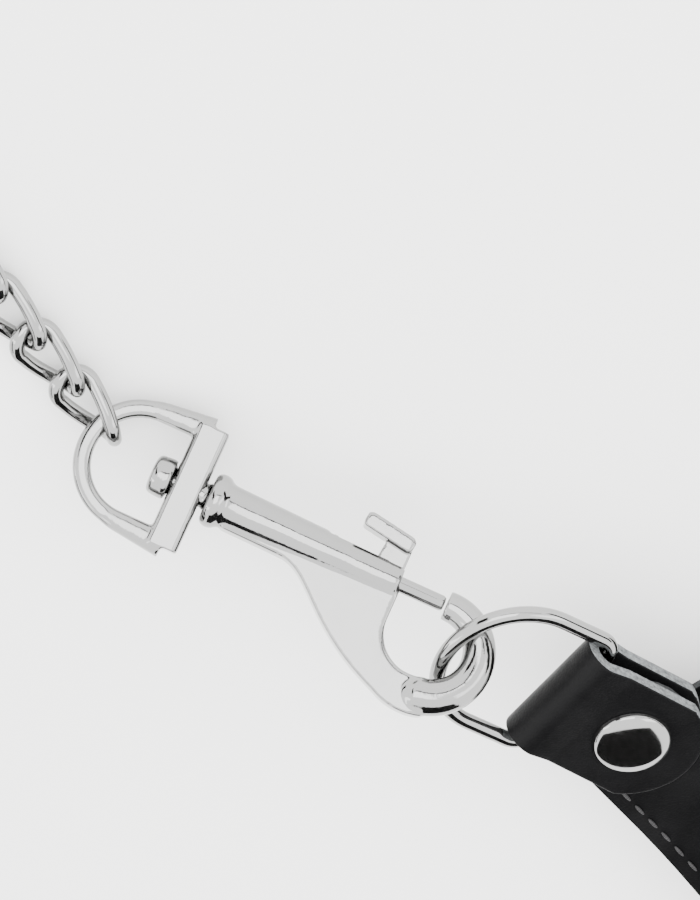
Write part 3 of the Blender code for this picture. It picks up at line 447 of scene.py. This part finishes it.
# ---- Bolt snap --------------------------------------------------------------------------------
COLLAR_LENGTH = 3.0
EYE_GAP = 0.9
EYE_BAR_THICK = 5.4
BARREL_LENGTH = 31.0
BOW_CENTRE = (40.2, -7.7)
BOW_RADIUS = 7.7
THROAT_CENTRE = (38.2, -6.2)
THROAT_RADIUS = 6.7
WEB_CENTRE = (39.2, -8.0)
WEB_RADIUS = 11.1
NOSE_X = 39.3
BOLT_RADIUS = 1.3
BORE_RADIUS = 1.75
WEB_HALF_THICK = 1.8
SLOT_HALF_WIDTH = 1.3
SLOT_START = 17.5
BORE_START = 8.0
CUT_END = BARREL_LENGTH + 0.6     # cuts run out past the barrel's mouth
BOW_BAR_ROOT = 3.2
BOW_BAR_TIP = 2.5
BOLT_START = 16.0
NOSE_GAP = 0.3                    # between the bolt's tip and the nose
POST_HALF_WIDTH = 1.0
PAD_HALF_WIDTH = 2.1
PAD_HEIGHT = 6.2                  # from the bolt's axis
PAD_TILT = radians(-9)
EYE_HALF_WIDTH = 10.6
EYE_SIDE_LENGTH = 11.2            # bar's outer face to the start of the round bow
EYE_HOLE_RADIUS = 2.4
HEAD_GAP = 0.3                    # between the swivel's head and the eye's bar


def barrel_shape():
    head = -COLLAR_LENGTH - EYE_GAP - EYE_BAR_THICK - HEAD_GAP
    profile = [(head - 3.4, 2.2), (head - 3.2, 2.9), (head - 2.7, 3.3), (head - 0.4, 3.5), (head, 3.3),
               (head, 2.1), (-COLLAR_LENGTH, 2.1), (-COLLAR_LENGTH, 3.8), (-2.6, 4.35), (-1.9, 4.6),
               (-1.1, 4.6), (-0.4, 4.3), (0.1, 3.75), (1.0, 3.65), (BARREL_LENGTH - 0.4, 2.95),
               (BARREL_LENGTH, 2.75)]
    return turned(profile, 64)


def web_shape():
    """Flat web that flares from under the barrel into the bow."""
    start, lean, rise = Vector((12.0, -4.1)), Vector((17.5, -4.8)), Vector((20.0, -12.5))
    end = Vector(arc(WEB_CENTRE, WEB_RADIUS, -118, -118, 1)[0])
    outline = [(0.8, -0.5), (0.8, -3.9)]
    steps = 24
    for k in range(steps):
        t = k / steps
        point = (start * (1 - t) ** 3 + lean * 3 * (1 - t) ** 2 * t + rise * 3 * (1 - t) * t ** 2
                 + end * t ** 3)
        outline.append((point.x, point.y))
    outline += arc(WEB_CENTRE, WEB_RADIUS, -118, -70, 14)
    outline += arc(THROAT_CENTRE, THROAT_RADIUS, -66, -180, 28)
    outline.append((THROAT_CENTRE[0] - THROAT_RADIUS, -0.5))
    return prism(outline, -WEB_HALF_THICK, WEB_HALF_THICK)


def bow_shape():
    """Round bar of the bow, thick at the web and slimmer at the nose, with the nose's cup."""
    rings = []
    steps = 48
    for k in range(steps + 1):
        share = k / steps
        angle = radians(-112 + 202 * share)
        out = Vector((cos(angle), sin(angle), 0))
        centre = Vector((*BOW_CENTRE, 0)) + out * BOW_RADIUS
        bar = BOW_BAR_ROOT + (BOW_BAR_TIP - BOW_BAR_ROOT) * share
        bar *= min(1.0, 0.35 + 6 * share)
        rings.append([centre + (out * cos(2 * pi * m / 32) + Vector((0, 0, 1)) * sin(2 * pi * m / 32)) * bar
                      for m in range(32)])
    rings.append([Vector((NOSE_X, p.y, p.z)) for p in rings[-1]])
    return loft(rings)


def make_snap_body(side, voxel):
    low, high = 0.2, 4.6
    slot = prism([(SLOT_START, low), (CUT_END, low), (CUT_END, high), (SLOT_START, high)],
                 -SLOT_HALF_WIDTH, SLOT_HALF_WIDTH)
    bore = turned([(BORE_START, BORE_RADIUS), (CUT_END, BORE_RADIUS)], 32)
    solids = [barrel_shape(), web_shape(), bow_shape()]
    body = cast(f"{side}_snap_casting", solids, [slot, bore], snap_place(side), voxel, 9)
    finish_piece(body, MATERIALS["cast"], f"{side}_body")


def make_bolt(side):
    place = snap_place(side)
    tip = NOSE_X - NOSE_GAP
    profile = [(BOLT_START, 1.0), (BOLT_START + 0.3, BOLT_RADIUS), (tip - 0.5, BOLT_RADIUS),
               (tip - 0.1, 1.1), (tip, 0.8)]
    bolt = new_object(f"{side}_bolt_pin", *turned(profile, 40), place)
    smooth(bolt)
    finish_piece(bolt, MATERIALS["drawn"], f"{side}_bolt")


def make_lever(side, voxel):
    """Thumb lever: a post with a tilted, softly rounded pad."""
    front = BARREL_LENGTH - 0.2
    post = prism([(front - 5.0, 1.55), (front, 1.55), (front, 6.0), (front - 4.4, 6.4)],
                 -POST_HALF_WIDTH, POST_HALF_WIDTH)
    tilt = Matrix.Rotation(PAD_TILT, 4, "Z")
    pad_outline = [(0.0, -0.9), (0.0, 0.7), (-0.7, 1.3), (-8.5, 1.3), (-9.2, 0.9), (-9.2, -0.5),
                   (-8.8, -1.3), (-0.6, -1.3)]
    verts, faces = prism(pad_outline, -PAD_HALF_WIDTH, PAD_HALF_WIDTH)
    pad = [(tilt @ v) + Vector((front, PAD_HEIGHT, 0)) for v in verts]
    lever = cast(f"{side}_lever_casting", [post, (pad, faces)], [], snap_place(side), voxel, 5)
    finish_piece(lever, MATERIALS["cast"], f"{side}_thumb_lever")


def make_eye(side, voxel):
    """Swivel eye: a square bar with a flat-faced round bow."""
    face = -COLLAR_LENGTH - EYE_GAP
    inner = face - EYE_BAR_THICK
    half, bend = EYE_HALF_WIDTH, face - EYE_SIDE_LENGTH
    reach = 1.35                  # wire's centre line to its outer side
    mid = half - reach
    line = [(inner + 2.7, -mid)] + arc((bend, 0), mid, 270, 90, 44) + [(inner + 2.7, mid)]
    rings = []
    for i, (x, y) in enumerate(line):
        x0, y0 = line[max(i - 1, 0)]
        x1, y1 = line[min(i + 1, len(line) - 1)]
        run = Vector((x1 - x0, y1 - y0, 0)).normalized()
        out = Vector((run.y, -run.x, 0))
        grow = max(0.0, min(1.0, (x - bend + 2.0) / (inner - bend + 2.0)))
        wide = 1.50 + 0.7 * grow
        tall = 1.60 + 1.0 * grow
        section = []
        for k in range(24):
            a = 2 * pi * k / 24
            bulge = 1.0 / (abs(cos(a)) ** 3.2 + abs(sin(a)) ** 3.2) ** (1 / 3.2)
            section.append(Vector((x, y, 0)) + out * (wide * bulge * cos(a) - (wide - reach))
                           + Vector((0, 0, 1)) * (tall * bulge * sin(a)))
        rings.append(section)
    bow = loft(rings)
    deep, edge = 2.7, 0.7
    section = [(face, -deep + edge), (face, deep - edge), (face - edge, deep), (inner + edge, deep),
               (inner, deep - edge), (inner, -deep + edge), (inner + edge, -deep), (face - edge, -deep)]
    bar = loft([[Vector((x, y, z)) for x, z in section] for y in (-half, half)])
    hole = turned([(inner - 1, EYE_HOLE_RADIUS), (face + 1, EYE_HOLE_RADIUS)], 40)
    eye = cast(f"{side}_eye_casting", [bow, bar], [hole], eye_place(side), voxel, 4)
    finish_piece(eye, MATERIALS["cast"], f"{side}_swivel_eye")


# ---- Ring and chain ---------------------------------------------------------------------------
def make_ring(sides):
    half, depth, corner, radius = 12.9, 24.0, 3.0, 1.35
    line = arc((corner, -half + corner), corner, 180, 270, 10)
    line += arc((depth - half, 0), half, -90, 90, 60)
    line += arc((corner, half - corner), corner, 90, 180, 10)
    line += [(0.0, half * share) for share in (0.5, 0.0, -0.5)]
    points = [Vector((x, y, 0)) for x, y in line]
    shape = wire(points, radius, sides, True, [Vector((0, 0, 1))] * len(points))
    ring = new_object("d_ring_wire", *shape, ring_place())
    smooth(ring, 60)
    finish_piece(ring, MATERIALS["drawn"], "d_ring")


def link_shape(sides):
    """Twisted curb link: an oval of wire turned 45 degrees each way at its ends."""
    pitch, gauge, half_width, play = 10.4, 2.5, 3.3, 0.6
    half_length = (pitch + gauge + play) / 2
    straight = half_length - half_width
    flat = arc((straight, 0), half_width, -90, 90, 20) + [(straight * s, half_width) for s in (0.5, 0, -0.5)]
    flat += arc((-straight, 0), half_width, 90, 270, 20)
    flat += [(straight * s, -half_width) for s in (-0.5, 0, 0.5)]
    points, normals = [], []
    for x, y in flat:
        turn = radians(45) * x / half_length
        points.append(Vector((x + pitch / 2, y * cos(turn), y * sin(turn))))
        normals.append(Vector((0, -sin(turn), cos(turn))))
    return wire(points, gauge / 2, sides, True, normals)


def link_places():
    """Each link's frame: origin at its joint, X to the next joint, the hinge axis fixing its roll."""
    names = [f"{link}_bend" for link in LINKS] + ["far_eye_swing"]
    places = []
    for k, name in enumerate(names[:-1]):
        joint = JOINTS[name]
        origin = vector(joint["pos_m"])
        along = (vector(JOINTS[names[k + 1]]["pos_m"]) - origin).normalized()
        sign = 1 if (k // 2) % 2 == 0 else -1
        axis = vector(joint["axis"]) * sign
        y_axis = axis if k % 2 == 0 else axis.cross(along)
        places.append(place_from(origin, along, y_axis))
    return places


def make_chain(sides):
    shape = link_shape(sides)
    for name, place in zip(LINKS, link_places()):
        link = new_object(f"{name}_wire", *shape, place)
        smooth(link, 60)
        finish_piece(link, MATERIALS["drawn"], name)


# ---- Tab and rivet ----------------------------------------------------------------------------
TAB_HALF = 11.0
TAB_THICK = 2.3
TAB_END = 12.0
TAB_REACH = 13.0
TAB_BAR_Z = -1.05
TAB_FLAT_GAP = 1.35
TAB_LOOP = 2.15
CAP_RADIUS = 6.5


def strap_section(y, rows):
    """Side view of the folded strap at one place across its width, from the upper end round to it."""
    end = -sqrt(TAB_END ** 2 - y ** 2)
    opens = TAB_REACH - 4.0
    outer_gap = TAB_FLAT_GAP + TAB_THICK
    xs = [end + (opens - end) * k / rows for k in range(rows + 1)]
    bends = [pi * k / 20 for k in range(21)]
    outer = TAB_LOOP + TAB_THICK
    points = []
    points += [(x, TAB_BAR_Z + outer_gap) for x in xs]
    points += [(TAB_REACH + outer * sin(a), TAB_BAR_Z + outer * cos(a)) for a in bends]
    points += [(x, TAB_BAR_Z - outer_gap) for x in reversed(xs)]
    points += [(x, TAB_BAR_Z - TAB_FLAT_GAP) for x in xs]
    points += [(TAB_REACH + TAB_LOOP * sin(a), TAB_BAR_Z - TAB_LOOP * cos(a)) for a in bends]
    points += [(x, TAB_BAR_Z + TAB_FLAT_GAP) for x in reversed(xs)]
    return points


def make_tab(edge_round):
    rows, columns = 24, 28
    rings = []
    for k in range(columns + 1):
        y = -TAB_HALF + 2 * TAB_HALF * k / columns
        ring = []
        for x, z in strap_section(y, rows):
            if z > TAB_BAR_Z + TAB_FLAT_GAP + 0.1 or z < TAB_BAR_Z - TAB_FLAT_GAP - 0.1:
                away = sqrt(x * x + y * y)
                sink = 0.45 * max(0.0, 1 - max(0.0, away - CAP_RADIUS * 0.7) / 4.0) ** 2
                z += -sink if z > TAB_BAR_Z else 0.0
            ring.append(Vector((x, y, z)))
        rings.append(ring)
    place = tab_place()
    strap = new_object("tab_leather_strap", *loft(rings), place)
    modifier = strap.modifiers.new("edge", "BEVEL")
    modifier.width = edge_round
    modifier.segments = 3
    modifier.limit_method = "ANGLE"
    modifier.angle_limit = radians(55)
    apply_modifiers(strap)
    strap.data.materials.clear()
    strap.data.materials.append(MATERIALS["tab"])
    strap.data.materials.append(MATERIALS["cut"])
    back = place.to_3x3().inverted()
    for face in strap.data.polygons:
        normal = back @ face.normal
        centre = place.inverted() @ face.center
        at_end = centre.x < -2 * MM and (centre.xy.length > (TAB_END - 0.25) * MM)
        if abs(normal.y) > 0.75 and abs(centre.y) > (TAB_HALF - 0.2) * MM or (at_end and abs(normal.z) < 0.6):
            face.material_index = 1
    smooth(strap, 50)
    finish_piece(strap, None, "tab_strap")


def make_rivet():
    place = tab_place()
    base = TAB_BAR_Z + TAB_FLAT_GAP + TAB_THICK - 0.40
    profile = [(base - 4.0, 1.5), (base, 1.5), (base, CAP_RADIUS - 0.45), (base + 0.15, CAP_RADIUS - 0.12),
               (base + 0.42, CAP_RADIUS), (base + 0.7, CAP_RADIUS - 0.1)]
    height = 2.0
    for k in range(1, 13):
        angle = radians(90 * k / 12)
        profile.append((base + 0.7 + height * sin(angle) * 0.8, (CAP_RADIUS - 0.1) * cos(angle) + 0.02))
    cap = new_object("rivet_dome_cap", *turned(profile, 72, "Z"), place)
    smooth(cap, 40)
    finish_piece(cap, MATERIALS["pressed"], "rivet_cap")


# ---- Covers, pockets and seams ----------------------------------------------------------------
def make_panels(edge_round):
    thin = ("lining", "lining_leather", 0.5)
    thick = ("cover", "cover_leather", 1.0)
    parts = {"upper_cover": thick, "lower_cover": thick, "spine_fold": ("cover", "cover_leather", 0.5),
             "upper_pocket_wall": thin, "bill_pocket_wall": thin, "coin_pocket": thin,
             "receipt_pocket": thin}
    for node in frame["nodes"]:
        if node.startswith("card_pocket"):
            parts[node] = thin
    for node, (material, slot, share) in parts.items():
        panel = softened(node, f"{node}_leather", edge_round * share)
        finish_piece(panel, MATERIALS[material], node)
        if material == "cover" and node != "spine_fold":
            panel.data.materials.append(MATERIALS["dark_cut"])
            for face in panel.data.polygons:
                if abs(face.normal.z) < 0.3:
                    face.material_index = 1


def seam_path(node, side, inset):
    """Points along three edges of a cover, laid on its outer face."""
    lowest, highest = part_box("lower_cover")
    mesh = frame["nodes"][node].data
    tree = BVHTree.FromPolygons([v.co[:] for v in mesh.vertices], [p.vertices[:] for p in mesh.polygons])
    x0, x1, y0, y1 = lowest.x + inset, highest.x - inset, lowest.y + inset, highest.y - inset
    radius = 7 * MM
    corner = arc((x1 - radius, y0 + radius), radius, 270, 360, 8)
    outline = [(x0 + 13 * MM if side > 0 else x0 + radius, y0)]
    outline += [(x0 + (x1 - radius - x0) * share, y0) for share in (0.15, 0.2, 0.25, 0.3, 0.4, 0.6, 0.8)]
    outline += corner + [(x1, y1)]
    if side > 0:
        ear = vector(JOINTS["tab_turn"]["pos_m"])
        outline = [(ear.x + share * (x0 - ear.x), y0) for share in (0.0, 0.35, 0.7, 1.0)] + outline
    points = []
    for x, y in outline:
        hit = tree.ray_cast(Vector((x, y, side)), Vector((0, 0, -side)))[0]
        if hit:
            points.append(hit + Vector((0, 0, side * 0.08 * MM)))
    return points


def stitch_tree(material):
    """Geometry Nodes: one thread stitch every pitch along a seam line."""
    tree = bpy.data.node_groups.new("seam_stitches", "GeometryNodeTree")
    face = tree.interface
    face.new_socket("Seam", in_out="INPUT", socket_type="NodeSocketGeometry")
    pitch = face.new_socket("Pitch", in_out="INPUT", socket_type="NodeSocketFloat")
    length = face.new_socket("Stitch length", in_out="INPUT", socket_type="NodeSocketFloat")
    gauge = face.new_socket("Thread radius", in_out="INPUT", socket_type="NodeSocketFloat")
    face.new_socket("Stitches", in_out="OUTPUT", socket_type="NodeSocketGeometry")
    start = add_node(tree, "NodeGroupInput")
    curve = add_node(tree, "GeometryNodeMeshToCurve", links={"Mesh": (start, "Seam")})
    even = add_node(tree, "GeometryNodeResampleCurve", {"mode": "LENGTH"},
                    links={"Curve": (curve, "Curve"), "Length": (start, "Pitch")})
    tangent = add_node(tree, "GeometryNodeInputTangent")
    turn = add_node(tree, "FunctionNodeAlignRotationToVector", {"axis": "Z"},
                    links={"Vector": (tangent, "Tangent")})
    thread = add_node(tree, "GeometryNodeMeshUVSphere", values={"Segments": 8, "Rings": 6, "Radius": 1.0})
    size = add_node(tree, "ShaderNodeCombineXYZ", links={"X": (start, "Thread radius"),
                                                        "Y": (start, "Thread radius"),
                                                        "Z": (start, "Stitch length")})
    placed = add_node(tree, "GeometryNodeInstanceOnPoints",
                      links={"Points": (even, "Curve"), "Instance": (thread, "Mesh"),
                             "Rotation": (turn, "Rotation"), "Scale": (size, "Vector")})
    real = add_node(tree, "GeometryNodeRealizeInstances", links={"Geometry": (placed, "Instances")})
    painted = add_node(tree, "GeometryNodeSetMaterial", values={"Material": material},
                       links={"Geometry": (real, "Geometry")})
    add_node(tree, "NodeGroupOutput", links={"Stitches": (painted, "Geometry")})
    return tree, pitch.identifier, length.identifier, gauge.identifier


def make_seams(leather):
    tree, pitch, length, gauge = stitch_tree(MATERIALS["thread"])
    for node, side in (("upper_cover", 1), ("lower_cover", -1)):
        points = seam_path(node, side, leather.stitch_inset)
        mesh = bpy.data.meshes.new(f"{node}_seam")
        mesh.from_pydata([p[:] for p in points], [(k, k + 1) for k in range(len(points) - 1)], [])
        seam = bpy.data.objects.new(f"{node}_seam", mesh)
        bpy.context.scene.collection.objects.link(seam)
        modifier = seam.modifiers.new("stitches", "NODES")
        modifier.node_group = tree
        modifier[pitch] = leather.stitch_pitch
        modifier[length] = leather.stitch_pitch * 0.34
        modifier[gauge] = 0.32 * MM
        apply_modifiers(seam)
        seam.data.shade_smooth()
        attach(seam, BODY_OF[node])


def dress_small_parts():
    """Studs, springs and the rivet's base keep their CAD shape and get their finish."""
    for name, obj in frame["nodes"].items():
        if name.startswith("stud") or name == "rivet_base":
            obj.data.materials.clear()
            obj.data.materials.append(MATERIALS["pressed"])
        if name.endswith("spring"):
            obj.data.materials.clear()
            obj.data.materials.append(MATERIALS["spring"])


# ---- Stage ------------------------------------------------------------------------------------
CAMERA_RIGHT = Vector((0.5866, 0.8076, -0.0246))
CAMERA_UP = Vector((-0.6882, 0.4833, -0.5395))
CAMERA_BACK = Vector((-0.4237, 0.3332, 0.8413))
CAMERA_DISTANCE = 0.800
CAMERA_LENS = 194.2
AIM_RIGHT = -46.08 * MM           # from the rivet to the middle of the view
AIM_UP = 47.35 * MM
SKY_STRENGTH = 4.2
FLAG_DISTANCE = 0.6
FLAGS = (((0.80, -0.55, 0.75), 0.75, 0.60),   # direction from the snap, width, height
         ((0.30, 1.0, 0.22), 0.55, 0.16),
         ((-1.0, 0.05, 0.30), 0.14, 0.42),
         ((-0.35, -1.0, 0.35), 0.50, 0.14),
         ((-0.55, 0.75, 0.55), 0.50, 0.05))


def make_camera():
    aim = vector(JOINTS["tab_turn"]["pos_m"]) + CAMERA_RIGHT * AIM_RIGHT + CAMERA_UP * AIM_UP
    data = bpy.data.cameras.new("camera")
    data.lens = CAMERA_LENS
    data.sensor_width = 36.0
    data.clip_start = 0.01
    camera = bpy.data.objects.new("camera", data)
    camera.matrix_world = place_from(aim + CAMERA_BACK * CAMERA_DISTANCE, CAMERA_RIGHT, CAMERA_UP)
    bpy.context.scene.collection.objects.link(camera)
    bpy.context.scene.camera = camera


def area_light(name, target, direction, distance, size, power):
    data = bpy.data.lights.new(name, "AREA")
    data.shape = "RECTANGLE"
    data.size, data.size_y = size
    data.energy = power
    light = bpy.data.objects.new(name, data)
    direction = direction.normalized()
    light.location = target + direction * distance
    light.rotation_euler = direction.to_track_quat("Z", "Y").to_euler()
    bpy.context.scene.collection.objects.link(light)


def make_stage():
    centre = (vector(JOINTS["near_eye_turn"]["pos_m"]) + vector(JOINTS["tab_turn"]["pos_m"])) / 2
    make_camera()
    floor, tree, shader, coords = start_material("pale_paper", {"Roughness": 0.85,
                                                                "Base Color": linear("#f4f4f3")})
    grain = add_node(tree, "ShaderNodeTexNoise", values={"Scale": per_metre(1.5)},
                     links={"Vector": (coords, "Object")})
    bump = add_node(tree, "ShaderNodeBump", values={"Strength": 0.05, "Distance": 0.1 * MM},
                    links={"Height": (grain, "Fac")})
    tree.links.new(bump.outputs["Normal"], shader.inputs["Normal"])
    size = 4.0
    mesh = bpy.data.meshes.new("floor")
    corners = [(-size, -size, 0), (size, -size, 0), (size, size, 0), (-size, size, 0)]
    mesh.from_pydata(corners, [], [(0, 1, 2, 3)])
    mesh.materials.append(floor)
    ground = bpy.data.objects.new("floor", mesh)
    bpy.context.scene.collection.objects.link(ground)
    world = bpy.data.worlds.new("studio")
    world.use_nodes = True
    background = world.node_tree.nodes["Background"]
    background.inputs["Color"].default_value = (1, 1, 1, 1)
    background.inputs["Strength"].default_value = SKY_STRENGTH
    bpy.context.scene.world = world
    area_light("key_softbox", centre, Vector((-0.9, 0.6, 1.3)), 0.9, (0.50, 0.50), 3.2)
    area_light("fill_softbox", centre, Vector((0.3, 1.0, 0.9)), 0.9, (0.30, 0.60), 1.6)
    area_light("rim_softbox", centre, Vector((-0.9, -1.0, 0.8)), 0.9, (0.18, 0.80), 1.6)
    card_material = start_material("black_flag_cloth", {"Roughness": 1.0, "Base Color": (0, 0, 0, 1)})[0]
    for number, (direction, width, height) in enumerate(FLAGS):
        away = Vector(direction).normalized()
        turn = away.to_track_quat("Z", "Y").to_matrix().to_4x4()
        corners = [(-width / 2, -height / 2, 0), (width / 2, -height / 2, 0), (width / 2, height / 2, 0),
                   (-width / 2, height / 2, 0)]
        place = Matrix.Translation(centre + away * FLAG_DISTANCE) @ turn
        card = bpy.data.meshes.new(f"flag_{number}")
        card.from_pydata([tuple(place @ Vector(c)) for c in corners], [], [(0, 1, 2, 3)])
        card.materials.append(card_material)
        flag = bpy.data.objects.new(f"flag_{number}", card)
        flag.visible_camera = False
        flag.visible_diffuse = False
        flag.visible_shadow = False
        bpy.context.scene.collection.objects.link(flag)


# ---- Operators --------------------------------------------------------------------------------
class WALLET_OT_materials(bpy.types.Operator):
    """Make every leather, metal and thread finish"""
    bl_idname = "wallet.materials"
    bl_label = "Materials"

    def execute(self, context):
        make_materials(context.scene.wallet_leather, context.scene.wallet_hardware)
        return {"FINISHED"}


class WALLET_OT_panels(bpy.types.Operator):
    """Make the covers, the spine and the pocket panels"""
    bl_idname = "wallet.panels"
    bl_label = "Covers and pockets"

    def execute(self, context):
        make_panels(context.scene.wallet_leather.edge_round)
        dress_small_parts()
        return {"FINISHED"}


class WALLET_OT_seams(bpy.types.Operator):
    """Sew the covers' edges"""
    bl_idname = "wallet.seams"
    bl_label = "Seams"

    def execute(self, context):
        make_seams(context.scene.wallet_leather)
        return {"FINISHED"}


class WALLET_OT_tab(bpy.types.Operator):
    """Make the folded tab and its rivet"""
    bl_idname = "wallet.tab"
    bl_label = "Tab and rivet"

    def execute(self, context):
        make_tab(context.scene.wallet_leather.edge_round)
        make_rivet()
        return {"FINISHED"}


class WALLET_OT_ring_and_chain(bpy.types.Operator):
    """Bend the D-ring and the chain's links"""
    bl_idname = "wallet.ring_and_chain"
    bl_label = "Ring and chain"

    def execute(self, context):
        sides = context.scene.wallet_hardware.wire_sides
        make_ring(sides)
        make_chain(sides)
        return {"FINISHED"}


class WALLET_OT_snaps(bpy.types.Operator):
    """Cast both bolt snaps with their bolts, levers and eyes"""
    bl_idname = "wallet.snaps"
    bl_label = "Bolt snaps"

    def execute(self, context):
        voxel = context.scene.wallet_hardware.cast_voxel
        for side in ("near", "far"):
            make_snap_body(side, voxel)
            make_bolt(side)
            make_lever(side, voxel)
            make_eye(side, voxel)
        return {"FINISHED"}


class WALLET_OT_stage(bpy.types.Operator):
    """Set up the floor, the lights and the camera"""
    bl_idname = "wallet.stage"
    bl_label = "Stage"

    def execute(self, context):
        make_stage()
        return {"FINISHED"}


class WALLET_PT_sidebar(bpy.types.Panel):
    bl_idname = "WALLET_PT_sidebar"
    bl_label = "Chain Wallet"
    bl_space_type = "VIEW_3D"
    bl_region_type = "UI"
    bl_category = "Chain Wallet"

    def draw(self, context):
        layout = self.layout
        for group in (context.scene.wallet_leather, context.scene.wallet_hardware):
            for name in group.__annotations__:
                layout.prop(group, name)
        for operator in STEPS:
            layout.operator(operator.bl_idname)


STEPS = (WALLET_OT_stage, WALLET_OT_materials, WALLET_OT_panels, WALLET_OT_seams, WALLET_OT_tab,
         WALLET_OT_ring_and_chain, WALLET_OT_snaps)
CLASSES = (WalletLeather, WalletHardware) + STEPS + (WALLET_PT_sidebar,)


def register():
    for cls in CLASSES:
        bpy.utils.register_class(cls)
    bpy.types.Scene.wallet_leather = PointerProperty(type=WalletLeather)
    bpy.types.Scene.wallet_hardware = PointerProperty(type=WalletHardware)


def unregister():
    del bpy.types.Scene.wallet_leather
    del bpy.types.Scene.wallet_hardware
    for cls in reversed(CLASSES):
        bpy.utils.unregister_class(cls)


def main():
    register()
    for operator in STEPS:
        group, name = operator.bl_idname.split(".")
        getattr(getattr(bpy.ops, group), name)()


if __name__ == "__main__":
    main()
